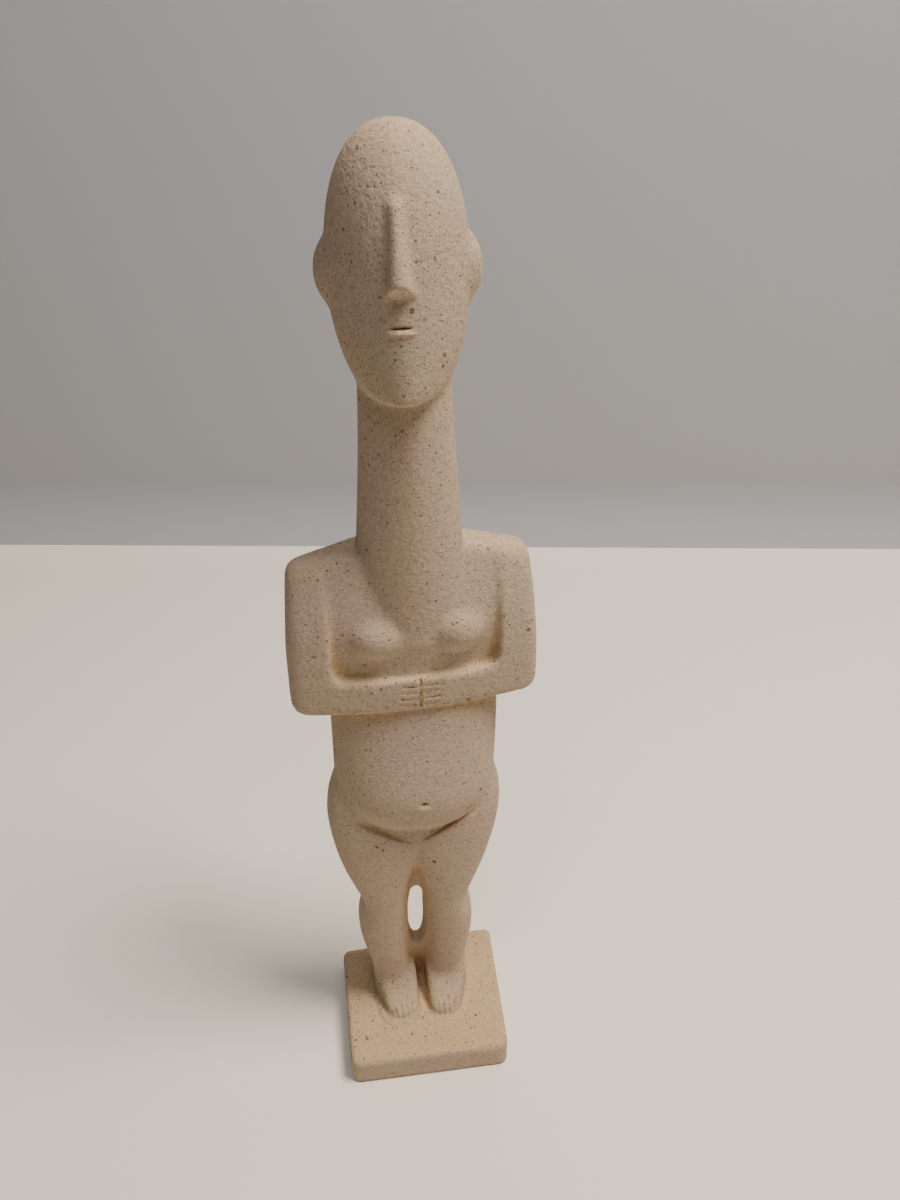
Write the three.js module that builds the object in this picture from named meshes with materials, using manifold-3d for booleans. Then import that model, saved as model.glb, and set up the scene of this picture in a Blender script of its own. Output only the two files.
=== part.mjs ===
// A small cast-stone figurine of the early Cycladic kind: a standing woman with a very long
// neck, her hands meeting fingertip to fingertip under the breasts, on a thin square base.
// Figure and base come out of one mould, so the whole thing is one closed solid.
//
// Millimetres, +Z up, front towards -Y, +X on the viewer's right. While the forms are made,
// z = 0 is the top of the base and x = y = 0 is the line between the feet. The last step
// moves the origin to the middle of the underside.

import * as THREE from 'three';
import { mergeVertices } from 'three/addons/utils/BufferGeometryUtils.js';
import Module from 'manifold-3d';

const wasm = await Module();
wasm.setup();

// ---------------------------------------------------------------- driving dimensions

const figureHeight = 199.8;      // top of the base to the crown
const baseThickness = 7.4;
const bodyTurn = 3.3;            // degrees: the trunk is turned a little on the legs
const bodyAxis = 0.3;            // x of the trunk's axis
const legAxis = -0.8;            // x of the gap between the legs

const jawHeight = 158.7;         // underside of the head
const faceHeight = 178;          // the widest level of the head, through the ears
const headHalfWidth = 11.6;
const headFront = 12.3;          // from the head's axis to the keel of the face
const headBack = 11;
const headTurn = -4.7;           // degrees
const headLean = 1;              // degrees towards -X

const shoulderHeight = 128.1;    // where the shoulders meet the neck
const armpitInside = 16.7;       // half the width of the chest between the arms
const elbowHalfWidth = 25.1;
const forearmTop = 101.7;
const forearmBottom = 93.8;

const navelHeight = 70.5;
const crotchHeight = 54.5;
const hipHalfWidth = 19.25;
const calfHalfWidth = 13.8;
const gapHalfWidth = 2.1;        // half of the gap between the legs
const footLength = 18.8;

const shortestEdge = 0.03;       // edges shorter than this are closed up after the joins
const flattestFace = 0.004;      // and so are faces that are narrower than this
const stoneColour = 0xc9b193;

// ---------------------------------------------------------------- shaping tools

// Smooth value at a height, from rows of [height, value] in rising order.
function along(rows, height) {
  const last = rows.length - 1;
  const h = Math.min(Math.max(height, rows[0][0]), rows[last][0]);
  let i = 0;
  while (i < last - 1 && h > rows[i + 1][0]) i += 1;
  const slope = (k) => {
    const a = rows[Math.max(k - 1, 0)];
    const b = rows[Math.min(k + 1, last)];
    return (b[1] - a[1]) / (b[0] - a[0]);
  };
  const span = rows[i + 1][0] - rows[i][0];
  const t = (h - rows[i][0]) / span;
  const rise = t * t * (3 - 2 * t);
  const easeIn = t * (1 - t) * (1 - t) * span;
  const easeOut = t * t * (1 - t) * span;
  return rows[i][1] * (1 - rise) + rows[i + 1][1] * rise + easeIn * slope(i) - easeOut * slope(i + 1);
}

// A share of a half width, 0 to 1, pushed out towards a square as power rises above 2.
function squared(share, power) {
  return Math.sign(share) * Math.abs(share) ** (2 / power);
}

// The same surface with its seams and poles closed, so that each corner is one vertex.
function weld(geometry) {
  geometry.deleteAttribute('normal');
  geometry.deleteAttribute('uv');
  return mergeVertices(geometry, 1e-4);
}

// Sends every vertex of a three.js geometry to the place that a function gives for it.
function bend(geometry, place) {
  const welded = weld(geometry);
  const points = welded.attributes.position;
  for (let i = 0; i < points.count; i += 1) {
    const [x, y, z] = place(points.getX(i), points.getY(i), points.getZ(i));
    points.setXYZ(i, x, y, z);
  }
  return welded;
}

// A closed geometry as a solid that can be joined and cut.
function solid(geometry) {
  const welded = weld(geometry);
  return new wasm.Manifold(new wasm.Mesh({
    numProp: 3,
    vertProperties: new Float32Array(welded.attributes.position.array),
    triVerts: new Uint32Array(welded.index.array),
  }));
}

// An upright column: section(height) gives its axis, half width, front, back and powers.
function column(levels, sides, section) {
  const steps = levels.length - 1;
  const tube = new THREE.CylinderGeometry(1, 1, steps, sides, steps);
  tube.rotateX(Math.PI / 2);
  return bend(tube, (x, y, z) => {
    const height = levels[Math.round(z + steps / 2)];
    const s = section(height);
    const reach = y < 0 ? s.front : s.back;
    const power = y < 0 ? s.frontPower : s.backPower;
    return [s.x + s.half * squared(x, power), s.y + reach * squared(y, power), height];
  });
}

// An egg-like form from its middle and three half sizes; power 2 is an ellipsoid.
function egg(middle, half, power, sides, rings) {
  const ball = new THREE.SphereGeometry(1, sides, rings);
  ball.rotateX(Math.PI / 2);
  return bend(ball, (x, y, z) => {
    const flat = Math.hypot(x, y) || 1;
    const out = squared(Math.hypot(x, y), power);
    return [
      middle[0] + half[0] * out * squared(x / flat, power),
      middle[1] + half[1] * out * squared(y / flat, power),
      middle[2] + half[2] * squared(z, power),
    ];
  });
}

function turned(geometry, degrees, axisX = bodyAxis) {
  geometry.translate(-axisX, 0, 0);
  geometry.rotateZ(THREE.MathUtils.degToRad(degrees));
  return geometry.translate(axisX, 0, 0);
}

const sidesOfBody = [-1, 1];

// ---------------------------------------------------------------- base

// Four slightly uneven sides, soft corners and edges, as the mould left them.
function makeBase() {
  const corners = [[-19, -21.5], [18.7, -21.5], [20, 13.7], [-19.7, 11.5]];
  const edge = 0.7;
  const corner = 1.1;
  const outline = new THREE.Shape();
  corners.forEach((here, i) => {
    const before = new THREE.Vector2(...corners[(i + 3) % 4]);
    const after = new THREE.Vector2(...corners[(i + 1) % 4]);
    const at = new THREE.Vector2(...here);
    const inset = (towards) => at.clone().add(towards.sub(at).setLength(corner));
    const start = inset(before);
    const end = inset(after);
    if (i === 0) outline.moveTo(start.x, start.y);
    else outline.lineTo(start.x, start.y);
    outline.quadraticCurveTo(at.x, at.y, end.x, end.y);
  });
  outline.closePath();
  const slab = new THREE.ExtrudeGeometry(outline, {
    depth: baseThickness - 2 * edge,
    bevelThickness: edge,
    bevelSize: edge,
    bevelOffset: -edge,
    bevelSegments: 2,
    curveSegments: 3,
  });
  return solid(slab.translate(0, 0, edge - baseThickness));
}

// ---------------------------------------------------------------- legs and feet

const legOutside = [
  [-2, 11.2], [4, 11.3], [9, 11.5], [12, 12], [17, 13.1], [22, calfHalfWidth], [27, 13.6], [31, 12.9],
  [33.4, 12.4], [35.5, 12.8], [40, 14.3], [46, 16.4], [52, 17.9], [57, 18.8], [62, hipHalfWidth],
  [67, 18.9], [70, 18.2], [73, 17.3], [76, 16.2],
];
const legInside = [
  [-2, 2], [20, gapHalfWidth], [35, 1.9], [42, 0.9], [48, -0.7], [crotchHeight, -1.9], [60, -2.8], [76, -3.5],
];
const legFront = [
  [-2, -5.2], [9, -5], [20, -5.6], [33, -6.6], [45, -7.2], [55, -7.2], [62, -6.8], [70, -5.5], [76, -4],
];
const legBack = [
  [-2, 7.5], [5, 7], [9, 6.6], [15, 8], [22, 9.2], [28, 8], [34, 6.2], [42, 7.5], [52, 9.6], [60, 10.6],
  [68, 9.5], [76, 6.5],
];
const legMiddle = [[-2, 2], [9, 2], [20, 3], [30, 1.5], [45, 0.5], [76, 0.5]];
const legSway = [[-2, -0.2], [10, -0.6], [25, -0.9], [45, -0.9], [60, -0.5], [76, 0]];

// Swelling hips, a notch behind the knee, a full calf and a thick ankle, on either side.
function makeLeg(side) {
  const levels = [-2, 5, 10, 14, 18, 22, 26, 30, 32, 33.4, 35.5, 40, 45, 50, 55, 60, 64, 68, 71, 74, 76];
  return solid(column(levels, 26, (height) => {
    const outside = along(legOutside, height);
    const inside = along(legInside, height);
    const middle = along(legMiddle, height);
    return {
      x: along(legSway, height) + (side * (outside + inside)) / 2,
      y: middle,
      half: (outside - inside) / 2,
      front: middle - along(legFront, height),
      back: along(legBack, height) - middle,
      frontPower: 2.3,
      backPower: 2.2,
    };
  }));
}

// A flat foot that slopes from the shin down to five toes, marked by four short cuts.
function makeFoot(side) {
  const toeTip = -11;
  const instep = [[toeTip, 2.3], [-9.5, 3], [-7, 4.4], [-4.5, 7], [0, 9], [footLength + toeTip, 8]];
  const half = [4.5, footLength / 2, 1];
  const middle = [side * 6.1 - 0.2, toeTip + half[1], 0];
  const shape = egg(middle, half, 3, 20, 14);
  const sloped = bend(shape, (x, y, z) => [
    x + side * 0.09 * (y - middle[1]),
    y,
    Math.max(z * along(instep, y), -1.5),
  ]);
  let foot = solid(sloped);
  for (let cut = -1.5; cut <= 1.5; cut += 1) {
    const groove = new THREE.BoxGeometry(0.3, 2.4, 3);
    groove.translate(middle[0] - side * 0.8 + cut * 1.3, toeTip + 0.5 + 0.22 * cut * cut, 2.2);
    foot = foot.subtract(solid(groove));
  }
  return foot;
}

// The thin wall of stone that was left between the legs, pierced by one rounded slot.
function makeWeb() {
  const front = -2.4;
  const back = 3;
  const buried = 1.5;
  const tall = crotchHeight - 2 + buried;
  const wall = new THREE.BoxGeometry(2 * 3.4, back - front, tall);
  wall.translate(legAxis, (front + back) / 2, tall / 2 - buried);
  const low = 17.9;
  const high = 35.2;
  const slot = new THREE.Shape();
  slot.absarc(legAxis, high, gapHalfWidth, 0, Math.PI);
  slot.absarc(legAxis, low, 1.65, Math.PI, 2 * Math.PI);
  slot.closePath();
  const cutter = new THREE.ExtrudeGeometry(slot, { depth: 12, bevelEnabled: false, curveSegments: 8 });
  cutter.rotateX(Math.PI / 2);
  cutter.translate(0, 6, 0);
  return solid(wall).subtract(solid(cutter));
}

// ---------------------------------------------------------------- belly and waist

function makeWaist() {
  const front = [[54, 6.4], [66, 6.7], [75, 6.6], [86, 6.2], [97, 6]];
  const back = [[54, 9], [66, 8], [75, 6.5], [86, 6], [97, 6]];
  const half = [[54, 15.8], [60, 16.6], [75, 17.3], [86, 17.4], [97, 17.3]];
  const sway = [[54, -0.5], [66, -0.4], [75, 0], [86, bodyAxis], [97, bodyAxis]];
  return solid(column([54, 58, 62, 67, 72, 77, 86, 96.8], 36, (height) => ({
    x: along(sway, height),
    y: 0,
    half: along(half, height),
    front: along(front, height),
    back: along(back, height),
    frontPower: 2.2,
    backPower: 2.3,
  })));
}

// The belly swells downwards and turns under sharply above the hips.
function makeBelly() {
  const turn = 76;
  const depth = [[57, 11.2], [62, 11], [70, 10.6], [turn, 9.6], [84, 8.2], [97, 6.6]];
  const ball = new THREE.SphereGeometry(1, 34, 22);
  ball.rotateX(Math.PI / 2);
  const belly = bend(ball, (x, y, z) => {
    const flat = Math.hypot(x, y) || 1;
    const share = z < 0 ? squared(Math.hypot(x, y), 2.4) : Math.min(1, 4 * Math.hypot(x, y));
    const height = z < 0 ? turn + 17.2 * squared(z, 2.4) : turn + 20.4 * Math.min(1, z * 1.05);
    const reach = y < 0 ? along(depth, height) : 5;
    return [
      0.2 + 16.6 * share * squared(x / flat, 2.2),
      reach * share * squared(y / flat, 2.2),
      height,
    ];
  });
  const navel = egg([1, -10.9, navelHeight], [0.75, 0.9, 0.5], 2, 10, 6);
  return solid(belly).subtract(solid(navel));
}

// ---------------------------------------------------------------- chest and arms

// Trunk and folded arms as one flat block, cut from the elbows up to the shoulders.
function makeArms() {
  const corner = 3.4;
  const shoulder = 2.5;
  const outline = new THREE.Path();
  outline.moveTo(elbowHalfWidth - corner, forearmBottom);
  outline.quadraticCurveTo(elbowHalfWidth - 0.3, forearmBottom, elbowHalfWidth - 0.1, forearmBottom + corner);
  outline.lineTo(elbowHalfWidth, 101);
  outline.lineTo(elbowHalfWidth - 0.15, 106);
  outline.lineTo(elbowHalfWidth - 0.55, 112);
  outline.lineTo(23.7, 120);
  outline.quadraticCurveTo(23.4, 124, 23.4 - shoulder, 124.8);
  outline.lineTo(8, shoulderHeight);
  const points = outline.getPoints(5);
  const front = [[93, 8.2], [101, 8.3], [108, 8], [116, 7.6], [122, 6.7], [128.2, 5]];
  const block = column(points.map((point) => point.y), 44, (height) => {
    const here = points.find((point) => point.y === height);
    const round = height - forearmBottom < 0.5 ? 0.5 : 0;
    return {
      x: bodyAxis,
      y: -0.5,
      half: here.x,
      front: along(front, height) - 0.5 - round,
      back: 6.6 - round,
      frontPower: 6,
      backPower: 5,
    };
  });
  // both broad faces are gently convex across their width
  const arms = bend(block, (x, y, z) => {
    const across = (x - bodyAxis) ** 2;
    return [x, y + (y < -0.5 ? 0.0047 : -0.0035) * across, z];
  });
  const chest = [[98, 6.5], [103, 6.7], [108, 7.6], [112, 7.9], [116, 7.5], [120, 6.5], [125, 4.9], [131, 3]];
  const fallsBack = [[100, 0.0085], [116, 0.0075], [122, 0.0055], [127, 0.002]];
  const recess = new THREE.BoxGeometry(2 * armpitInside, 1, 1, 10, 1, 12);
  const carved = bend(recess, (x, y, z) => {
    const height = forearmTop + (z + 0.5) * (131 - forearmTop);
    const depth = y < 0 ? 20 : along(chest, height) - along(fallsBack, height) * x * x;
    return [bodyAxis + x, -depth, height];
  });
  return solid(turned(arms, bodyTurn)).subtract(solid(turned(carved, bodyTurn)));
}

function makeBreast(side) {
  const breast = egg([0.6 + side * 8, -5, 110.2], [5.7, 3.5, 5.4], 2, 18, 12);
  return solid(turned(breast, bodyTurn));
}

// The line between the hands and four cuts in each hand for its five fingers.
function makeFingerCuts() {
  const front = -8.5;
  const line = new THREE.BoxGeometry(0.5, 1.7, forearmTop - forearmBottom - 0.6);
  line.translate(bodyAxis + 0.2, front, (forearmTop + forearmBottom) / 2);
  let cuts = solid(turned(line, bodyTurn));
  const handHeight = forearmTop - forearmBottom - 1;
  for (const side of sidesOfBody) {
    for (let finger = 1; finger < 5; finger += 1) {
      const cut = new THREE.BoxGeometry(3, 1.5, 0.4);
      const height = forearmBottom + 0.7 + (handHeight * finger) / 5;
      cut.translate(bodyAxis + 0.2 + side * 2.15, front, height);
      cuts = cuts.add(solid(turned(cut, bodyTurn)));
    }
  }
  return cuts;
}

// ---------------------------------------------------------------- neck

// A tapering column with a soft keel in front, which dies into the chest as a pointed V.
function makeNeck() {
  const half = [[110, 11], [120, 10.6], [130, 9.95], [136, 9.5], [144, 8.9], [152, 8.45], [160, 8.1], [170, 7.8]];
  const front = [[110, 7.6], [120, 7.9], [130, 8.1], [144, 8.3], [160, 8.4], [170, 8.4]];
  return solid(column([109, 113, 117, 121, 125, 130, 136, 144, 152, 160, 165], 36, (height) => ({
    x: along([[110, 0.4], [130, 0.5], [152, 0.5], [170, 0.3]], height),
    y: 0,
    half: along(half, height),
    front: along(front, height),
    back: along([[110, 4.2], [124, 4.8], [131, 6.5], [142, 7], [170, 7]], height),
    frontPower: 1.65,
    backPower: 2.1,
  })));
}

// ---------------------------------------------------------------- head

// Upright, long and flattened: two slight planes meet in a keel down the middle of the face.
function makeSkull() {
  const crown = figureHeight - faceHeight;
  const chinDrop = 23.6;
  const ball = new THREE.SphereGeometry(1, 36, 26);
  ball.rotateX(Math.PI / 2);
  return bend(ball, (x, y, z) => {
    const flat = Math.hypot(x, y) || 1;
    const level = z < 0 ? z : squared(z, 2.5);
    const height = faceHeight + (z < 0 ? chinDrop : crown) * level;
    const taper = z < 0 ? Math.sqrt(1 - Math.abs(level) ** 2.3) : squared(Math.hypot(x, y), 2.5);
    const closed = flat > 0.02 && Math.hypot(x, y) > 0.02;
    const deep = z < 0 ? (closed ? 1 : 0) : taper;
    const power = y < 0 ? 1.75 : 2.15;
    const front = along([[150, headFront], [168, headFront], [178, 11.6], [190, 10.8], [200, 10]], height);
    const back = along([[150, 7.5], [160, 8], [168, 9.6], [178, headBack], [200, headBack]], height);
    return [
      headHalfWidth * taper * squared(x / flat, power),
      -0.5 + (y < 0 ? front : back) * deep * squared(y / flat, power),
      height,
    ];
  });
}

// A straight nose: a narrow ridge that widens and stands out as it comes down.
function makeNose() {
  const root = 188;
  const tip = 176.2;
  return bend(new THREE.BoxGeometry(1, 1, 1), (x, y, z) => {
    const down = 0.5 - z;
    const outer = y < 0;
    const half = outer ? 0.6 + 0.35 * down : 1.1 + 2.3 * down;
    const depth = outer ? 11.1 + 4.1 * down : 9;
    const droop = outer ? 0.7 * down : 0;
    return [2 * x * half, -depth, root + (tip - root) * down - droop];
  });
}

function makeHead() {
  const pieces = [makeSkull(), makeNose()];
  for (const side of sidesOfBody) {
    pieces.push(egg([side * 10.3, 0.2, 177.9], [3.4, 3.6, 4.7], 2.2, 18, 12));
  }
  const mouth = egg([0, -12.6, 170.9], [2.5, 1.1, 0.42], 2, 14, 6);
  const belowJaw = new THREE.BoxGeometry(40, 40, 20).translate(0, 0, jawHeight - 10);
  for (const geometry of [...pieces, mouth, belowJaw]) {
    geometry.translate(0.15, 0, -jawHeight);
    geometry.rotateZ(THREE.MathUtils.degToRad(headTurn));
    geometry.rotateY(THREE.MathUtils.degToRad(-headLean));
    geometry.translate(bodyAxis, 0, jawHeight);
  }
  const head = pieces.map(solid).reduce((joined, piece) => joined.add(piece));
  return head.subtract(solid(mouth)).subtract(solid(belowJaw));
}

// ---------------------------------------------------------------- the casting

// Shallow cuts that draw the lower edge of the belly as a V, and the furrow of the spine.
function makeBodyLines() {
  const lines = [];
  const rise = 8;
  const reach = 11.5;
  for (const side of sidesOfBody) {
    const fold = new THREE.BoxGeometry(Math.hypot(rise, reach), 1.6, 0.5);
    fold.rotateY(-side * Math.atan2(rise, reach));
    fold.rotateZ(side * 0.16);
    fold.translate(legAxis - 0.4 + (side * reach) / 2, -6.9, 55 + rise / 2);
    lines.push(fold);
  }
  const furrow = new THREE.CylinderGeometry(1.6, 1.6, 54, 8);
  furrow.rotateX(Math.PI / 2);
  furrow.translate(bodyAxis, 7, 93);
  lines.push(furrow);
  return lines.map(solid).reduce((joined, line) => joined.add(line));
}

// Where two surfaces meet at a glance, a join leaves needles, with one very short edge, and
// caps, with a corner almost on the edge across from it. A needle's short edge is closed, and
// a cap's long edge is turned to run between the two corners that face it.
function withoutSlivers(mesh) {
  const points = [];
  for (let i = 0; i < mesh.vertProperties.length; i += 3) {
    points.push(new THREE.Vector3().fromArray(mesh.vertProperties, i));
  }
  let faces = [];
  for (let i = 0; i < mesh.triVerts.length; i += 3) faces.push([...mesh.triVerts.slice(i, i + 3)]);

  const has = (face, ...corners) => corners.every((corner) => face.includes(corner));
  const around = (corner) => new Set(faces.filter((face) => face.includes(corner)).flat());
  const edgesOf = ([a, b, c]) => [[a, b, c], [b, c, a], [c, a, b]];
  const length = ([a, b]) => points[a].distanceTo(points[b]);
  const width = (face) => {
    const [a, b, c] = face.map((corner) => points[corner]);
    const longest = Math.max(...edgesOf(face).map(length));
    return (2 * new THREE.Triangle(a, b, c).getArea()) / longest;
  };

  for (const face of [...faces]) {
    const short = faces.includes(face) && edgesOf(face).find((edge) => length(edge) < shortestEdge);
    if (!short) continue;
    const [kept, gone] = short;
    const near = around(kept);
    const shared = [...around(gone)].filter((corner) => near.has(corner)).length;
    if (shared !== 4) continue;
    faces = faces.filter((other) => !has(other, kept, gone));
    for (const other of faces) {
      if (other.includes(gone)) other[other.indexOf(gone)] = kept;
    }
  }

  for (let round = 0; round < 4; round += 1) {
    for (const face of faces.filter((one) => width(one) < flattestFace)) {
      const [a, b, c] = edgesOf(face).sort((one, two) => length(two) - length(one))[0];
      const beside = faces.find((other) => other !== face && has(other, a, b));
      const d = beside.find((corner) => corner !== a && corner !== b);
      const turnedFaces = [[a, d, c], [d, b, c]];
      const better = Math.min(...turnedFaces.map(width)) > Math.min(width(face), width(beside));
      if (!better || faces.some((other) => has(other, c, d))) continue;
      face.splice(0, 3, ...turnedFaces[0]);
      beside.splice(0, 3, ...turnedFaces[1]);
    }
  }
  return { points, faces };
}

let casting = makeArms();
for (const side of sidesOfBody) casting = casting.add(makeBreast(side));
casting = casting.add(makeWaist()).add(makeBelly());
casting = casting.subtract(makeFingerCuts());
for (const side of sidesOfBody) casting = casting.add(makeLeg(side)).add(makeFoot(side));
casting = casting.subtract(makeBodyLines());
casting = casting.add(makeNeck()).add(makeHead()).add(makeWeb()).add(makeBase());

const { points, faces } = withoutSlivers(casting.getMesh());
const geometry = new THREE.BufferGeometry().setFromPoints(points);
geometry.setIndex(faces.flat());
geometry.deleteAttribute('uv');
geometry.computeBoundingBox();
const { min, max } = geometry.boundingBox;
geometry.translate(-(min.x + max.x) / 2, -(min.y + max.y) / 2, baseThickness);
geometry.computeVertexNormals();

const stone = new THREE.MeshStandardMaterial({ color: stoneColour, roughness: 0.92, metalness: 0 });
const figurine = new THREE.Mesh(geometry, stone);
figurine.name = 'figurine';

const group = new THREE.Group();
group.add(figurine);

export default group;
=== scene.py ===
"""A small cast-stone figurine of the early Cycladic kind, on its thin square base."""

import math

import bpy
import numpy as np
from mathutils import Matrix, Vector


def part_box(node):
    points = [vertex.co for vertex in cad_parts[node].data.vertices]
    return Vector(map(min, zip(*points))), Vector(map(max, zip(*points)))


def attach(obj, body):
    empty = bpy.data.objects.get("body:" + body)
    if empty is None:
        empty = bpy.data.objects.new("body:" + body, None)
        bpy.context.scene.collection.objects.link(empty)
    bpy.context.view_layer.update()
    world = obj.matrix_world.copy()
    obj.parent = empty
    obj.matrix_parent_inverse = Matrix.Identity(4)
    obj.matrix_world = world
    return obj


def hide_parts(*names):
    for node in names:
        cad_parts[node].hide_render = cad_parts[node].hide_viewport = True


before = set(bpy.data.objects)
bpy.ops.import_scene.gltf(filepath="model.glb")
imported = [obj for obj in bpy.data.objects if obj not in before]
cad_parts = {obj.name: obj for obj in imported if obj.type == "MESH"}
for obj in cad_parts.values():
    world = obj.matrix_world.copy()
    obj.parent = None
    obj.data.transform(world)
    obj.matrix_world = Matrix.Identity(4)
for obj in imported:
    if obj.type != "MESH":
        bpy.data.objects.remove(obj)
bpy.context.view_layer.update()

MM = 0.001


# ------------------------------------------------------------------ the base
# A thin slab, not quite square, that comes out of the same mould as the figure. Its edges
# and corners are softened by the mould. Every form of the casting is a function that gives
# the distance in mm from a point to its surface, less than zero inside: z is 0 on the slab's
# top, x and y are 0 between the feet, and -Y is the front.

low, high = [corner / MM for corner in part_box("figurine")]
SLAB_THICK = 7.4
CROWN = high.z - low.z - SLAB_THICK
SLAB_CORNERS = [(-19.0, -21.5), (18.7, -21.5), (20.0, 13.7), (-19.7, 11.5)]


def joined(a, b, fillet):
    """Two forms as one, with a rounded hollow of about this size along the joint."""
    near = np.maximum(fillet - np.abs(a - b), 0) / fillet
    return np.minimum(a, b) - near * near * fillet / 4


def shared(a, b, softness):
    """What two forms have in common, with its edge worn round."""
    return -joined(-a, -b, softness)


def cut(form, tool, softness):
    """A form with another taken away from it."""
    return shared(form, -tool, softness)


def wander(x, y, z, step, seed):
    """Smooth unevenness from -1 to 1 that changes over about this many mm."""
    rng = np.random.RandomState(seed)
    total = np.zeros_like(x)
    for _ in range(7):
        direction = rng.normal(size=3)
        direction *= rng.uniform(0.7, 1.4) / (np.linalg.norm(direction) * step)
        phase = rng.uniform(0, 6.28)
        total += np.sin(np.pi * (direction[0] * x + direction[1] * y + direction[2] * z) + phase)
    return total / 7


def slab(x, y, z):
    sides = None
    for i, (ax, ay) in enumerate(SLAB_CORNERS):
        bx, by = SLAB_CORNERS[(i + 1) % 4]
        length = math.hypot(bx - ax, by - ay)
        side = ((x - ax) * (by - ay) - (y - ay) * (bx - ax)) / length
        sides = side if sides is None else shared(sides, side, 2.2)
    form = shared(sides + 0.12 * wander(x, y, z, 9, 3), z + 0.08 * wander(x, y, z, 7, 4), 0.9)
    return shared(form, -SLAB_THICK - z, 0.7)


# ------------------------------------------------------------------ legs and feet
# Heavy hips, a notch at the back of the knee, a full calf and a thick ankle that runs into a
# flat foot. Between the legs the stone stays as a thin web with one rounded slot through it.

# rows of (height, value) in mm; outside and inside are measured from the middle of both legs
LEG_OUTSIDE = [
    (-2, 11.2), (4, 11.3), (9, 11.5), (12, 12.0), (17, 13.1), (22, 13.8), (27, 13.6),
    (31, 12.9), (33.4, 12.4), (35.5, 12.8), (40, 14.3), (46, 16.4), (52, 17.9), (57, 18.8),
    (62, 19.25), (67, 18.9), (70, 18.2), (73, 17.3), (76, 16.2),
]
LEG_INSIDE = [
    (-2, 2), (20, 2.1), (34, 1.9), (40, 1.1), (46, -0.7), (51, -2.4), (55, -3.5), (60, -4.3),
    (76, -5),
]
LEG_FRONT = [
    (-2, -5.2), (9, -5), (20, -5.6), (33, -6.6), (45, -7.2), (55, -7.2), (62, -6.8), (70, -5.5),
    (76, -4),
]
LEG_BACK = [
    (-2, 7.5), (5, 7), (9, 6.6), (15, 8), (22, 9.2), (28, 8), (34, 6.2), (42, 7.5), (52, 9.6),
    (60, 10.6), (68, 9.5), (76, 6.5),
]
LEG_MIDDLE = [(-2, 2), (9, 2), (20, 3), (30, 1.5), (45, 0.5), (76, 0.5)]
LEG_SWAY = [(-2, -0.2), (10, -0.6), (25, -0.9), (45, -0.9), (60, -0.5), (76, 0)]
LEG_TOP = 75
GAP_X = -0.85
CROTCH_Z = 55.0
BURIED = -2  # feet, legs and web reach this far down into the slab


def along(rows, height):
    """Smooth value at a height, from (height, value) rows in rising order."""
    at, value = np.array(rows, float).T
    slope = np.empty_like(value)
    slope[1:-1] = (value[2:] - value[:-2]) / (at[2:] - at[:-2])
    slope[0] = (value[1] - value[0]) / (at[1] - at[0])
    slope[-1] = (value[-1] - value[-2]) / (at[-1] - at[-2])
    h = np.clip(height, at[0], at[-1])
    i = np.clip(np.searchsorted(at, h, side="right") - 1, 0, len(at) - 2)
    span = at[i + 1] - at[i]
    t = (h - at[i]) / span
    rise = t * t * (3 - 2 * t)
    ease = t * (1 - t) ** 2 * span * slope[i] - t * t * (1 - t) * span * slope[i + 1]
    return value[i] * (1 - rise) + value[i + 1] * rise + ease


def column(x, y, middle_x, half, middle_y, front, back, front_power, back_power):
    """An upright form: at each height a rounded section between a front and a back."""
    across, deep = np.abs(x - middle_x), y - middle_y
    ahead = deep < 0
    power = np.where(ahead, front_power, back_power)
    reach = np.where(ahead, middle_y - front, back - middle_y)
    share = ((across / half) ** power + (np.abs(deep) / reach) ** power) ** (1 / power)
    radius = np.hypot(across, deep)
    return (share - 1) * np.where(share > 1e-6, radius / np.maximum(share, 1e-6), np.minimum(half, reach))


def egg(x, y, z, middle, half, power=2.0):
    """A round lump with its own half size along each axis; a higher power makes it boxier."""
    dx, dy, dz = x - middle[0], y - middle[1], z - middle[2]
    share = (np.abs(dx) / half[0]) ** power + (np.abs(dy) / half[1]) ** power
    share = (share + (np.abs(dz) / half[2]) ** power) ** (1 / power)
    radius = np.sqrt(dx**2 + dy**2 + dz**2)
    return (share - 1) * np.where(share > 1e-6, radius / np.maximum(share, 1e-6), min(half))


def leg(x, y, z, side):
    """One leg from the base to the hip; side is -1 or 1."""
    outside, inside = along(LEG_OUTSIDE, z), along(LEG_INSIDE, z)
    middle_x = along(LEG_SWAY, z) + side * (outside + inside) / 2
    middle_y, front, back = along(LEG_MIDDLE, z), along(LEG_FRONT, z), along(LEG_BACK, z)
    form = column(x, y, middle_x, (outside - inside) / 2, middle_y, front, back, 2.6, 2.2)
    return shared(shared(form, z - LEG_TOP, 2.5), BURIED - z, 0.1)


TOE_TIP = -11.2
TOE_WIDTH = 1.3


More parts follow.
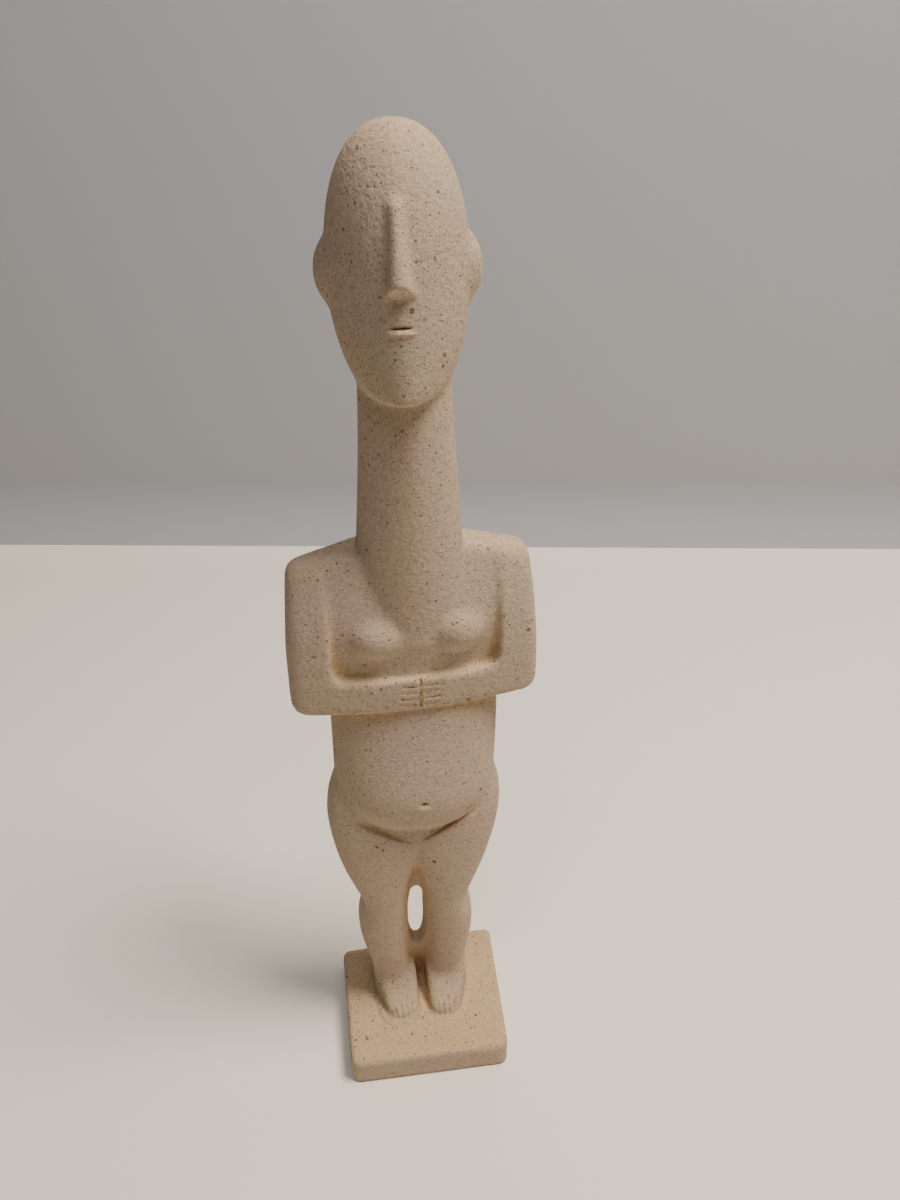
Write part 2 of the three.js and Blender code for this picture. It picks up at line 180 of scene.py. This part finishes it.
def foot(x, y, z, side):
    """A flat foot that slopes from the instep to five toes."""
    middle_x = -0.2 + side * along([(-12, 5.0), (-6, 5.7), (0, 6.3), (8, 6.6)], y)
    half = along([(-12, 3.1), (-8, 4.1), (-4, 4.7), (2, 4.9), (8, 4.6)], y)
    top = along([(-12, 1.3), (-10.5, 2.1), (-8, 3.7), (-5, 6.6), (-2, 9.5), (6, 9)], y)
    # the five toes end in small round lobes
    lobes = np.abs(np.sin(np.pi * (x - middle_x + TOE_WIDTH / 2) / TOE_WIDTH))
    tip = TOE_TIP + 0.06 * (x - middle_x) ** 2 + 0.25 * (1 - lobes)
    form = shared(np.abs(x - middle_x) - half, z - top, 2.6)
    form = shared(form, tip - y, 1.4)
    for toe in range(-2, 2):
        between = middle_x + (toe + 0.5) * TOE_WIDTH
        groove = shared(np.abs(x - between) - 0.16, y - (TOE_TIP + 2.0), 0.1)
        form = cut(form, shared(groove, top - 0.75 - z, 0.2), 0.35)
    form = shared(form, y - 7.8, 3)
    return shared(form, BURIED - z, 0.1)


def foot_rim(x, y, z):
    """The faint step that the mould left round the foot on the -X side."""
    middle_x = -0.2 - 6.0
    form = egg(x, y, 0 * z, (middle_x, -2.2, 0), (5.6, 10.6, 4), 2.6)
    return shared(shared(form, z - 0.4, 0.5), BURIED - z, 0.1)


def web(x, y, z):
    """The thin wall between the legs, with its slot."""
    wall = shared(np.abs(x - GAP_X) - 3.5, z - CROTCH_Z + 1, 1)
    front = along([(-2, 1.0), (8, 0.4), (16, -1.2), (22, -2.2), (55, -2.4)], z)
    wall = shared(shared(wall, front - y, 0.5), y - 3.4, 0.5)
    wall = shared(wall, BURIED - z, 0.1)
    slot = egg(x, 0 * y, z, (GAP_X, 0, 26.3), (2.2, 2.2, 10.9), 2.3)
    return cut(wall, slot, 0.7)


def pubic_line(x, z):
    """How far below the two lines of the V a point lies."""
    return 0.82 * (CROTCH_Z + 0.62 * np.sqrt((x + 1.1) ** 2 + 0.1) - z)


def pubic_facet(x, y, z):
    """The flat between belly and thighs, which ends below in the V."""
    return shared(pubic_line(x, z), y + 6.35 - 0.05 * (z - CROTCH_Z), 0.2)


def legs(x, y, z):
    form = None
    for side in (-1, 1):
        one = joined(leg(x, y, z, side), foot(x, y, z, side), 1.8)
        form = one if form is None else joined(form, one, 0.8)
    form = cut(form, pubic_facet(x, y, z), 0.3)
    form = joined(form, web(x, y, z), 0.9)
    return form


# ------------------------------------------------------------------ waist and belly
# The belly swells downwards from the forearms and turns under above the hips, which stand
# back on either side of it. The navel is a small dent. Both forms end inside the arm block.

TRUNK_INSIDE = 97


def waist(x, y, z):
    middle_x = along([(54, -0.5), (66, -0.4), (75, 0.05), (86, 0.35), (97, 0.35)], z)
    half = along([(54, 15.9), (60, 16.7), (75, 17.35), (86, 17.4), (97, 17.3)], z)
    front = along([(56, -6.35), (62, -6.5), (66, -6.6), (75, -6.6), (86, -6.2), (96, -6)], z)
    back = along([(54, 9), (66, 8), (75, 6.5), (86, 6), (97, 6)], z)
    form = column(x, y, middle_x, half, 0, front, back, 2.2, 2.3)
    # in front it ends a little below the lines of the V, inside the thighs
    below = np.where(y < 0, pubic_line(x, z) - 1.5, 54 - z)
    return shared(shared(form, z - TRUNK_INSIDE, 1), below, 0.3)


def belly(x, y, z):
    turn_z, drop = 76.0, 17.2
    middle_x, half, power, under_power = 0.2, 16.9, 2.2, 2.9
    reach = along([(56, 11.4), (62, 11.3), (70, 10.8), (76, 9.8), (84, 8.3), (96, 6.6)], z)
    flat = ((np.abs(x - middle_x) / half) ** power + (np.abs(y) / reach) ** power) ** (1 / power)
    below = np.clip(turn_z - z, 0, None)
    share = (flat**under_power + (below / drop) ** under_power) ** (1 / under_power)
    radius = np.sqrt((x - middle_x) ** 2 + y**2 + below**2)
    form = (share - 1) * np.where(share > 1e-6, radius / np.maximum(share, 1e-6), 8)
    form = shared(form, z - TRUNK_INSIDE, 1)
    navel = egg(x, y, z, (1.0, -11.0, 70.6), (0.85, 1.2, 0.5))
    rim = egg(x, y, z, (0.75, -10.2, 69.4), (1.5, 0.75, 0.8))
    return cut(joined(form, rim, 0.8), navel, 0.5)


def furrow(x, y, z):
    """The furrow of the spine, a straight round bar. The back comes further out below the arms,
    so there the furrow gets too deep, and then it runs on under the skin."""
    return shared(np.hypot(x - 0.3, y - 7.0) - 1.6, np.abs(z - 93) - 27, 3)


# ------------------------------------------------------------------ arms, chest and hands
# Upper arms and forearms frame the chest as one flat block, turned a little on the legs. The
# forearms cross the body under low breasts, and the hands meet fingertip to fingertip, cut
# with four short lines each.

TRUNK_TURN = math.radians(3.3)
TRUNK_X = 0.3
FOREARM_TOP, FOREARM_BOTTOM = 101.7, 93.8
ARMPIT = 16.5
HANDS_X = 0.55


def turned(x, y, angle, middle_x=0.0):
    """Points as seen from a form that is turned by this angle about an upright axis."""
    c, s = math.cos(angle), math.sin(angle)
    return middle_x + c * (x - middle_x) + s * y, c * y - s * (x - middle_x)


def arm_block(x, y, z):
    """Shoulders, upper arms and forearms as one flat block, with the chest still filled in."""
    across = np.abs(x - TRUNK_X)
    outside = along([(93, 24.9), (100, 25.05), (106, 24.9), (112, 24.5), (119, 23.9), (126, 23.2)], z)
    top = z - (128.2 - 0.22 * np.maximum(across - 8, 0))
    front = along([(93, -8.2), (101, -8.3), (108, -8.0), (114, -7.3), (120, -5.9), (128, -3.4)], z)
    front = front + 0.0047 * across**2 - y
    back = y - (6.2 - 0.0035 * across**2)
    form = shared(across - outside, top, 2.2)
    form = shared(form, FOREARM_BOTTOM - z, 3.2)
    # the underside of the forearms is a flat shelf, so its front edge is sharper than the rest
    faces = shared(front, back, 5)
    return shared(form, faces, along([(93, 1.3), (98, 2.3), (120, 2.6), (128, 2.4)], z))


def chest_recess(x, y, z):
    """What is carved away in front of the chest, between the arms."""
    across = np.abs(x - TRUNK_X)
    chest = [
        (100, -6.5), (104, -6.7), (108, -7.2), (112, -7.3), (116, -6.5), (120, -5.3), (125, -3.5),
        (131, -1.2),
    ]
    chest = along(chest, z)
    falls_back = along([(100, 0.0085), (112, 0.008), (118, 0.006), (124, 0.003), (128, 0.001)], z)
    sides = shared(across - ARMPIT, FOREARM_TOP - z, 3.2)
    return shared(sides, y - chest - falls_back * across**2, 0.8)


def breasts(x, y, z):
    form = None
    for side in (-1, 1):
        one = egg(x, y, z, (0.6 + side * 8, -5.2, 110.6), (4.9, 3.5, 4.3))
        form = one if form is None else joined(form, one, 1)
    return form


def finger_lines(x, y, z):
    lines = shared(np.abs(x - HANDS_X) - 0.26, np.abs(z - (FOREARM_TOP + FOREARM_BOTTOM) / 2) - 4.2, 0.1)
    across = np.abs(x - HANDS_X)
    for finger in range(4):
        height = FOREARM_BOTTOM + 1.6 + 1.5 * finger
        reach = 4.1 - 0.25 * abs(finger - 1)
        one = shared(np.abs(z - height - 0.06 * across) - 0.2, across - reach, 0.6)
        lines = np.minimum(lines, shared(one, 0.9 - across, 0.2))
    return shared(lines, y + 7.55, 0.25)


def scratch(x, y, z):
    """A fine scratch below the tip of the V."""
    start, end = np.array([-1.9, 114.6]), np.array([3.6, 112.6])
    span = end - start
    t = np.clip(((x - start[0]) * span[0] + (z - start[1]) * span[1]) / (span @ span), 0, 1)
    return np.hypot(x - start[0] - t * span[0], z - start[1] - t * span[1]) - 0.22


def trunk(x, y, z):
    x, y = turned(x, y, TRUNK_TURN, TRUNK_X)
    form = cut(arm_block(x, y, z), chest_recess(x, y, z), 0.9)
    form = joined(form, breasts(x, y, z), 1.5)
    form = cut(form, finger_lines(x, y, z), 0.3)
    return cut(form, shared(scratch(x, y, z), y + 7.6, 0.1), 0.25)


# ------------------------------------------------------------------ neck
# A very long column that widens downwards. It has a soft keel in front and dies into the
# chest as a pointed V.

def neck(x, y, z):
    half = [
        (110, 11), (120, 10.6), (130, 9.95), (136, 9.5), (144, 8.9), (152, 8.45), (160, 8.1),
        (170, 7.8),
    ]
    half = along(half, z)
    front = along([(110, -7.5), (120, -7.95), (130, -8.15), (144, -8.3), (160, -8.4), (170, -8.4)], z)
    back = along([(110, 4.2), (124, 4.8), (131, 6.5), (142, 7), (170, 7)], z)
    middle_x = along([(110, 0.4), (130, 0.5), (152, 0.5), (170, 0.3)], z)
    form = column(x, y, middle_x, half, 0, front, back, 1.85, 2.1)
    return shared(shared(form, z - 166, 1), 108 - z, 1)


# ------------------------------------------------------------------ head
# Long, upright and flattened, with two slight planes that meet in a keel down the face, a
# straight nose, a short slit for a mouth, and ears that are only swellings at the sides.

JAW_Z = 158.7
FACE_Z = 178.0
HEAD_HALF = 11.6
HEAD_TURN = math.radians(-4.7)
HEAD_LEAN = math.radians(1.1)
KEEL = [(150, 12.3), (168, 12.3), (178, 11.6), (190, 10.8), (200, 10)]
NOSE_ROOT, NOSE_TIP, NOSE_BASE = 190.5, 178.6, 176.3


def skull(x, y, z):
    middle_y = -0.5
    above = np.clip(z - FACE_Z, 0, None)
    below = np.clip((FACE_Z - z) / 23.6, 0, 0.995)
    half = HEAD_HALF * np.sqrt(1 - below**2.3)
    deep = y - middle_y
    ahead = deep < 0
    power = np.where(ahead, 1.78, 2.15)
    behind = along([(150, 7.5), (160, 8), (168, 9.6), (178, 11), (200, 11)], z)
    reach = np.where(ahead, along(KEEL, z), behind)
    flat = ((np.abs(x) / half) ** power + (np.abs(deep) / reach) ** power) ** (1 / power)
    crown_power = 2.25
    share = (flat**crown_power + (above / (CROWN - FACE_Z)) ** crown_power) ** (1 / crown_power)
    radius = np.sqrt(x**2 + deep**2 + above**2)
    return (share - 1) * np.where(share > 1e-6, radius / np.maximum(share, 1e-6), 8)


def nose(x, y, z):
    """A straight ridge that grows downwards from the keel of the face."""
    down = np.clip((NOSE_ROOT - z) / (NOSE_ROOT - NOSE_TIP), 0, 1.3)
    face = -0.5 - along(KEEL, z)
    ridge = face + 0.5 - 3.3 * down**0.9
    inside = np.clip((y - ridge) / np.maximum(face + 0.9 - ridge, 0.3), 0, 1.6)
    half = (0.6 + 0.4 * down) * (1 - inside) + (1.0 + 1.35 * down) * inside
    form = shared(0.85 * (np.abs(x) - half), ridge - y, 0.9)
    form = shared(form, z - NOSE_ROOT, 2)
    # the lower end is bevelled back from the tip to the face
    bevel = (NOSE_BASE - z) * 0.83 + (face + 0.2 - y) * 0.56
    form = shared(form, bevel, 0.35)
    return shared(form, y + 8, 0.5)


def head(x, y, z):
    c, s = math.cos(HEAD_LEAN), math.sin(HEAD_LEAN)
    x, z = c * (x - TRUNK_X) + s * (z - JAW_Z), c * (z - JAW_Z) - s * (x - TRUNK_X) + JAW_Z
    x, y = turned(x, y, HEAD_TURN)
    x = x - 0.1
    form = skull(x, y, z)
    for side in (-1, 1):
        form = joined(form, egg(x, y, z, (side * 10.3, 0.2, 177.9), (3.35, 3.8, 4.9), 2.2), 2.0)
    form = shared(form, JAW_Z - z, 1.8)
    form = joined(form, nose(x, y, z), 0.8)
    # the lower lip stands a little forward of the slit
    lip = egg(x, y, z, (-0.05, -12.0, 170.8), (2.4, 1.0, 0.55))
    mouth = egg(x, y, z, (-0.05, -12.9, 171.7), (2.3, 0.95, 0.28), 2.4)
    return cut(joined(form, lip, 0.5), mouth, 0.3)


# ------------------------------------------------------------------ the casting's skin
# Base and figure are one piece of cast stone. Its forms are joined with small fillets and
# worn edges, and their common surface is turned into one mesh, finest where the fingers, the
# face, the toes and the folds are.

def casting(x, y, z):
    form = joined(trunk(x, y, z), neck(x, y, z), 0.4)
    form = joined(form, head(x, y, z), 1.0)
    body = joined(waist(x, y, z), belly(x, y, z), 0.9)
    body = joined(body, legs(x, y, z), 0.5)
    form = joined(form, body, 0.7)
    form = cut(form, furrow(x, y, z), 1.2)
    form = form + 0.07 * wander(x, y, z, 5.5, 11)
    ground = joined(slab(x, y, z), foot_rim(x, y, z), 0.6)
    return joined(form, ground, 1.2)


def steepness(points, reach=0.03):
    """Which way the distance to the casting grows at each point, and how fast."""
    slope = np.empty_like(points)
    for axis in range(3):
        step = np.zeros(3)
        step[axis] = reach
        slope[:, axis] = (casting(*(points + step).T) - casting(*(points - step).T)) / (2 * reach)
    return slope


def settled(points, longest, rounds=2):
    """The points moved onto the casting's surface, none further than the longest step."""
    for _ in range(rounds):
        slope = steepness(points)
        fall = casting(*points.T) / np.maximum((slope**2).sum(1), 0.25)
        move = fall[:, None] * slope
        size = np.linalg.norm(move, axis=1)
        points = points - move * np.minimum(1, longest / np.maximum(size, 1e-9))[:, None]
    return points


def first_skin(spacing):
    """A mesh of squares round the casting: one corner in each cell the surface crosses."""
    start, end = np.array([-27.0, -23.5, -9.0]), np.array([27.5, 16.0, 202.0])
    layers = 24  # layers of the grid that are worked out at once
    count = np.ceil((end - start) / spacing).astype(int) + 1
    ticks = [start[axis] + spacing * np.arange(count[axis]) for axis in range(3)]
    field = np.empty(count, np.float32)
    for first in range(0, count[2], layers):
        x, y, z = np.meshgrid(ticks[0], ticks[1], ticks[2][first:first + layers], indexing="ij")
        value = casting(x.ravel(), y.ravel(), z.ravel()).reshape(x.shape)
        field[:, :, first:first + layers] = value
    inside = field < 0
    inner = count - 1

    def corner(values, i, j, k):
        return values[i:inner[0] + i, j:inner[1] + j, k:inner[2] + k]

    ends = (0, 1)
    filled = sum(corner(inside, i, j, k).astype(np.int8) for i in ends for j in ends for k in ends)
    crossed = (filled > 0) & (filled < 8)
    cells = np.argwhere(crossed)
    number = np.full(crossed.shape, -1)
    number[crossed] = np.arange(len(cells))
    # each corner starts at the mean of the places where its cell's edges cross the surface
    total, met = np.zeros((len(cells), 3)), np.zeros(len(cells))
    corners = [np.array((i, j, k)) for i in ends for j in ends for k in ends]
    for a in corners:
        for b in corners:
            if (b - a).sum() != 1 or (b < a).any():
                continue
            at_a, at_b = field[tuple((cells + a).T)], field[tuple((cells + b).T)]
            crosses = (at_a < 0) != (at_b < 0)
            share = np.where(crosses, at_a / np.where(crosses, at_a - at_b, 1), 0)
            total += np.where(crosses[:, None], a + (b - a) * share[:, None], 0)
            met += crosses
    points = (cells + total / met[:, None]) * spacing + start

    squares = []
    for axis in range(3):
        before = [slice(None)] * 3
        after = [slice(None)] * 3
        before[axis], after[axis] = slice(0, -1), slice(1, None)
        here, there = inside[tuple(before)], inside[tuple(after)]
        edges = np.argwhere(here != there)
        u, v = [np.eye(3, dtype=int)[other] for other in range(3) if other != axis]
        ring = np.stack([number[tuple((edges - shift).T)] for shift in (u + v, v, 0 * u, u)], 1)
        outward = here[tuple(edges.T)] if axis != 1 else ~here[tuple(edges.T)]
        ring[~outward] = ring[~outward][:, ::-1]
        squares.append(ring)
    squares = np.concatenate(squares)
    triangles = np.concatenate([squares[:, [0, 1, 2]], squares[:, [0, 2, 3]]])
    return points, triangles


def wanted_edge(points):
    """How long the mesh's edges may be at each place."""
    x, y, z = points.T
    front = y < -4
    longest = np.full(len(points), 1.15)

    def finer(where, edge):
        longest[where] = np.minimum(longest[where], edge)

    finer(front & (np.abs(x - HANDS_X) < 5.4) & (z > 93) & (z < 102.3), 0.3)
    finer(front & (np.abs(x + 1.2) < 4.6) & (z > 173.5) & (z < 192), 0.5)
    finer(front & (np.abs(x + 1.1) < 3.6) & (z > 169) & (z < 173.2), 0.28)
    finer((y < -7) & (np.abs(x) < 11) & (z > -0.3) & (z < 4), 0.36)
    finer(front & (np.abs(x - 1) < 2.4) & (z > 67.8) & (z < 72.5), 0.36)
    finer(front & (np.abs(z - CROTCH_Z - 0.68 * np.abs(x + 1.3)) < 1.2) & (np.abs(x) < 15), 0.5)
    finer(front & (np.abs(x - 0.9) < 4) & (z > 111.6) & (z < 115.6), 0.4)
    return longest


def split_long_edges(points, triangles, longest_at):
    """Halves every edge that is longer than the length wanted at its middle."""
    edges = np.concatenate([triangles[:, [0, 1]], triangles[:, [1, 2]], triangles[:, [2, 0]]])
    edges = np.sort(edges, axis=1)
    edges, where = np.unique(edges, axis=0, return_inverse=True)
    where = where.reshape(3, -1).T
    a, b = points[edges[:, 0]], points[edges[:, 1]]
    middle = (a + b) / 2
    long = np.linalg.norm(a - b, axis=1) > longest_at(middle) * 1.25
    added = np.full(len(edges), -1)
    added[long] = len(points) + np.arange(long.sum())
    halves = added[where]
    amount = (halves >= 0).sum(1)
    made = [triangles[amount == 0]]
    for turn in range(3):
        order = [(turn + k) % 3 for k in range(3)]
        (p, q, r), (pq, qr, rp) = triangles[:, order].T, halves[:, order].T
        one = (amount == 1) & (pq >= 0)
        made += [np.stack([p, pq, r], 1)[one], np.stack([pq, q, r], 1)[one]]
        two = (amount == 2) & (rp < 0)
        made += [np.stack(t, 1)[two] for t in ((p, pq, r), (pq, qr, r), (pq, q, qr))]
    (p, q, r), (pq, qr, rp) = triangles.T, halves.T
    whole = amount == 3
    made += [np.stack(t, 1)[whole] for t in ((p, pq, rp), (pq, q, qr), (rp, qr, r), (pq, qr, rp))]
    return np.concatenate([points, middle[long]]), np.concatenate(made)


points, triangles = first_skin(0.9)
points = settled(points, 0.45)
for _ in range(3):
    known = len(points)
    points, triangles = split_long_edges(points, triangles, wanted_edge)
    points[known:] = settled(points[known:], 0.4)
slope = steepness(points)
steep = np.linalg.norm(slope, axis=1)
outward = slope / steep[:, None]

# how hollow the form is round each point: 0 on open surfaces, 1 deep in a groove
hollow = np.zeros(len(points))
REACHES = (0.6, 1.5, 3.5, 7.0)
for reach in REACHES:
    hollow += np.clip(1 - casting(*(points + reach * outward).T) / (reach * steep), 0, 1) / len(REACHES)

# the skin goes where the solid is, and stays inside its box
middle = (points.min(0) + points.max(0)) / 2
shift = np.array([-middle[0], -middle[1], SLAB_THICK])
inner = 0.01
places = np.clip(points + shift, np.array(low) + [inner, inner, 0], np.array(high) - inner)
skin = bpy.data.meshes.new("figurine_skin")
skin.from_pydata(places * MM, [], triangles.tolist())
skin.attributes.new("hollow", "FLOAT", "POINT").data.foreach_set("value", hollow)
figurine = bpy.data.objects.new("figurine_casting", skin)
bpy.context.scene.collection.objects.link(figurine)
skin.shade_smooth()


# ------------------------------------------------------------------ the stone
# Cream cast stone: pale sand with a fine grain, dust-brown grains, dark brown specks and small
# pits that the air left in the mould, painted dark as shade inside them. Pinkish patches run
# through it. Ochre lies in the hollows below the neck, the top of the base is tinted ochre, and
# all that faces up is tinted more thinly towards ochre as painted warm light from above.

stone = bpy.data.materials.new("cast_stone")
stone.use_nodes = True
tree = stone.node_tree
nodes, links = tree.nodes, tree.links
shader = nodes["Principled BSDF"]


def node(kind, **settings):
    made = nodes.new(kind)
    for name, value in settings.items():
        setattr(made, name, value)
    return made


def feed(socket, source):
    if isinstance(source, bpy.types.NodeSocket):
        links.new(source, socket)
    else:
        socket.default_value = source


def math_node(operation, *sources):
    made = node("ShaderNodeMath", operation=operation)
    for socket, source in zip(made.inputs, sources):
        feed(socket, source)
    return made.outputs[0]


def ramp(source, low_edge, high_edge, low_value=0.0, high_value=1.0):
    made = node("ShaderNodeMapRange", interpolation_type="SMOOTHSTEP")
    for socket, value in zip(made.inputs, (source, low_edge, high_edge, low_value, high_value)):
        feed(socket, value)
    return made.outputs[0]


def mix_colour(share, under, over, blend="MIX"):
    made = node("ShaderNodeMix", data_type="RGBA", blend_type=blend)
    feed(made.inputs[0], share)
    feed(made.inputs[6], under if isinstance(under, bpy.types.NodeSocket) else (*under, 1))
    feed(made.inputs[7], over if isinstance(over, bpy.types.NodeSocket) else (*over, 1))
    return made.outputs[2]


def noise(scale, detail=2.0, roughness=0.5, colour=False):
    made = node("ShaderNodeTexNoise")
    feed(made.inputs["Vector"], place)
    made.inputs["Scale"].default_value = scale
    made.inputs["Detail"].default_value = detail
    made.inputs["Roughness"].default_value = roughness
    return made.outputs["Color" if colour else "Fac"]


def cells(scale, vector):
    """Scattered grains: how far the nearest is, and a random colour of its own for each."""
    made = node("ShaderNodeTexVoronoi")
    feed(made.inputs["Vector"], vector)
    made.inputs["Scale"].default_value = scale
    return made.outputs["Distance"], made.outputs["Color"]


place = node("ShaderNodeTexCoord").outputs["Object"]
hollow_mask = node("ShaderNodeAttribute", attribute_name="hollow").outputs["Fac"]
up = node("ShaderNodeSeparateXYZ")
feed(up.inputs[0], node("ShaderNodeNewGeometry").outputs["Normal"])
height = node("ShaderNodeSeparateXYZ")
feed(height.inputs[0], place)

PALE = (0.465, 0.36, 0.25)
OCHRE = (0.56, 0.375, 0.2)
PINK = (0.475, 0.34, 0.265)
# dark brown of the specks, also used as painted shade inside the pits
SPECK_AND_PIT_SHADE = (0.11, 0.055, 0.03)
DUST = (0.22, 0.15, 0.095)

patches = ramp(noise(38, 3), 0.4, 0.66)
stone_colour = mix_colour(math_node("MULTIPLY", patches, 0.7), PALE, PINK)
below_neck = ramp(height.outputs["Z"], 145 * MM, 120 * MM, 0.12, 1.0)
deep = math_node("MULTIPLY", ramp(hollow_mask, 0.1, 0.45), below_neck)
# painted light: a thin ochre tint on all that faces up stands in for warm light from above
painted_top_light = math_node("MULTIPLY", ramp(up.outputs["Z"], 0.1, 0.8), 0.4)
base_top = math_node(
    "MULTIPLY",
    ramp(height.outputs["Z"], (SLAB_THICK + 2.5) * MM, (SLAB_THICK - 0.2) * MM),
    ramp(up.outputs["Z"], 0.35, 0.85),
)
# ochre in the hollows and on the base top, together with the painted warm light on all that faces up
ochre_and_painted_light = math_node("MAXIMUM", math_node("MAXIMUM", deep, painted_top_light), base_top)
stone_colour = mix_colour(math_node("MULTIPLY", ochre_and_painted_light, 0.8), stone_colour, OCHRE)

# sand grain, pale and dark
grain = noise(2600, 2, 0.6)
stone_colour = mix_colour(0.5, stone_colour, ramp(grain, 0.3, 0.7, 0.35, 0.65), "OVERLAY")

# fine dust-brown grains, close together
ragged = node("ShaderNodeVectorMath", operation="MULTIPLY_ADD")
feed(ragged.inputs[0], noise(1900, 1, colour=True))
RAGGED_BY = 0.6 * MM
ragged.inputs[1].default_value = (RAGGED_BY, RAGGED_BY, RAGGED_BY)
feed(ragged.inputs[2], place)
dust_far, dust_random = cells(1900, ragged.outputs[0])
dust_pick = node("ShaderNodeSeparateColor")
feed(dust_pick.inputs[0], dust_random)
dust_size = ramp(dust_pick.outputs[0], 0.35, 1.0, 0.0, 0.42)
dust = ramp(math_node("SUBTRACT", dust_size, dust_far), -0.05, 0.12)
stone_colour = mix_colour(math_node("MULTIPLY", dust, 0.5), stone_colour, DUST)

# dark specks: only some cells hold one, each of its own size
speck_far, speck_random = cells(1050, ragged.outputs[0])
speck_pick = node("ShaderNodeSeparateColor")
feed(speck_pick.inputs[0], speck_random)
speck_size = ramp(speck_pick.outputs[0], 0.6, 1.0, 0.0, 0.3)
specks = ramp(math_node("SUBTRACT", speck_size, speck_far), -0.02, 0.1)
stone_colour = mix_colour(math_node("MULTIPLY", specks, 0.6), stone_colour, SPECK_AND_PIT_SHADE)

# pits, more of them on top of the base; the dark colour in them is painted shade
pit_far, pit_random = cells(380, ragged.outputs[0])
pit_pick = node("ShaderNodeSeparateColor")
feed(pit_pick.inputs[0], pit_random)
pit_rarity = math_node("MULTIPLY_ADD", base_top, -0.35, 0.8)
pit_size = ramp(pit_pick.outputs[1], pit_rarity, 1.0, 0.0, 0.19)
pits_with_painted_shade = ramp(math_node("SUBTRACT", pit_size, pit_far), -0.02, 0.08)
# painted shade: each pit is coloured dark brown as if shaded inside
stone_colour = mix_colour(math_node("MULTIPLY", pits_with_painted_shade, 0.7), stone_colour, SPECK_AND_PIT_SHADE)
feed(shader.inputs["Base Color"], stone_colour)
feed(shader.inputs["Roughness"], ramp(grain, 0.2, 0.8, 0.82, 0.96))
shader.inputs["Specular IOR Level"].default_value = 0.25

# the relief of all these, in mm
relief = math_node("MULTIPLY_ADD", grain, 0.08, math_node("MULTIPLY", noise(1000, 2), 0.2))
relief = math_node("MULTIPLY_ADD", dust, -0.07, relief)
relief = math_node("MULTIPLY_ADD", specks, -0.10, relief)
relief = math_node("MULTIPLY_ADD", pits_with_painted_shade, -0.25, relief)
bump = node("ShaderNodeBump")
bump.inputs["Strength"].default_value = 1
bump.inputs["Distance"].default_value = MM
feed(bump.inputs["Height"], relief)
feed(shader.inputs["Normal"], bump.outputs[0])
skin.materials.append(stone)

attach(figurine, "root")
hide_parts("figurine")


# ------------------------------------------------------------------ the studio
# A plain pale table top of paper that curves up behind into a grey wall of paper, a soft key
# light high on the right, a weak fill in front and a weaker light behind.

def sweep():
    wide, front, back, bend_radius, tall, bend_steps = 900, -420, 255, 30, 700, 12
    profile = [(front, 0.0), (back - bend_radius, 0.0)]
    for step in range(1, bend_steps):
        angle = math.pi / 2 * step / bend_steps
        along_table = back - bend_radius + bend_radius * math.sin(angle)
        profile.append((along_table, bend_radius * (1 - math.cos(angle))))
    profile += [(back, float(bend_radius)), (back, float(tall))]
    corners = [(side * wide, y, z) for y, z in profile for side in (-1, 1)]
    faces = [(2 * i, 2 * i + 1, 2 * i + 3, 2 * i + 2) for i in range(len(profile) - 1)]
    mesh = bpy.data.meshes.new("sweep")
    turn = Matrix.Rotation(math.radians(-9), 4, "Z")
    mesh.from_pydata([turn @ Vector(corner) * MM for corner in corners], [], faces)
    mesh.shade_smooth()
    papers = {"table_paper": (0.94, 0.87, 0.74, 1), "wall_paper": (0.39, 0.39, 0.41, 1)}
    for name, colour in papers.items():
        paper = bpy.data.materials.new(name)
        paper.use_nodes = True
        surface = paper.node_tree.nodes["Principled BSDF"]
        surface.inputs["Base Color"].default_value = colour
        surface.inputs["Roughness"].default_value = 0.85
        mesh.materials.append(paper)
    # the grey paper starts a third of the way round the bend
    pale_faces = 5
    for face in mesh.polygons:
        face.material_index = 0 if face.index < pale_faces else 1
    made = bpy.data.objects.new("sweep", mesh)
    bpy.context.scene.collection.objects.link(made)
    return made


sweep()


def soft_light(name, place_mm, aim_mm, size_mm, power, colour):
    lamp = bpy.data.lights.new(name, "AREA")
    lamp.shape = "DISK"
    lamp.size = size_mm * MM
    lamp.energy = power
    lamp.color = colour
    made = bpy.data.objects.new(name, lamp)
    made.location = Vector(place_mm) * MM
    made.rotation_euler = (Vector(aim_mm) - Vector(place_mm)).to_track_quat("-Z", "Y").to_euler()
    bpy.context.scene.collection.objects.link(made)


soft_light("key", (298, -108, 770), (0, 0, 90), 300, 7.8, (1.0, 0.92, 0.84))
soft_light("fill", (-45, -253, 795), (0, 0, 90), 300, 1.3, (0.89, 0.96, 1.0))
soft_light("rim", (0, 375, 740), (0, 0, 90), 300, 0.8, (0.95, 0.97, 1.0))
world = bpy.data.worlds.new("studio")
world.use_nodes = True
world.node_tree.nodes["Background"].inputs["Color"].default_value = (0.86, 0.9, 1.0, 1)
world.node_tree.nodes["Background"].inputs["Strength"].default_value = 0.02
bpy.context.scene.world = world


# ------------------------------------------------------------------ the camera
# Close above the figurine and a little to its left, looking down at it.

camera_data = bpy.data.cameras.new("camera")
camera_data.sensor_width = 36.0
camera_data.lens = 29.13
camera_data.clip_start = 0.01
camera = bpy.data.objects.new("camera", camera_data)
looking_down, looking_right, roll = math.radians(32), 0.1327, -0.007
camera_place = Vector((-13.3, -160.1, 215.2)) + Vector(shift)
camera.matrix_world = (
    Matrix.Translation(camera_place * MM)
    @ Matrix.Rotation(-looking_right, 4, "Z")
    @ Matrix.Rotation(math.pi / 2 - looking_down, 4, "X")
    @ Matrix.Rotation(roll, 4, "Z")
)
bpy.context.scene.collection.objects.link(camera)
bpy.context.scene.camera = camera
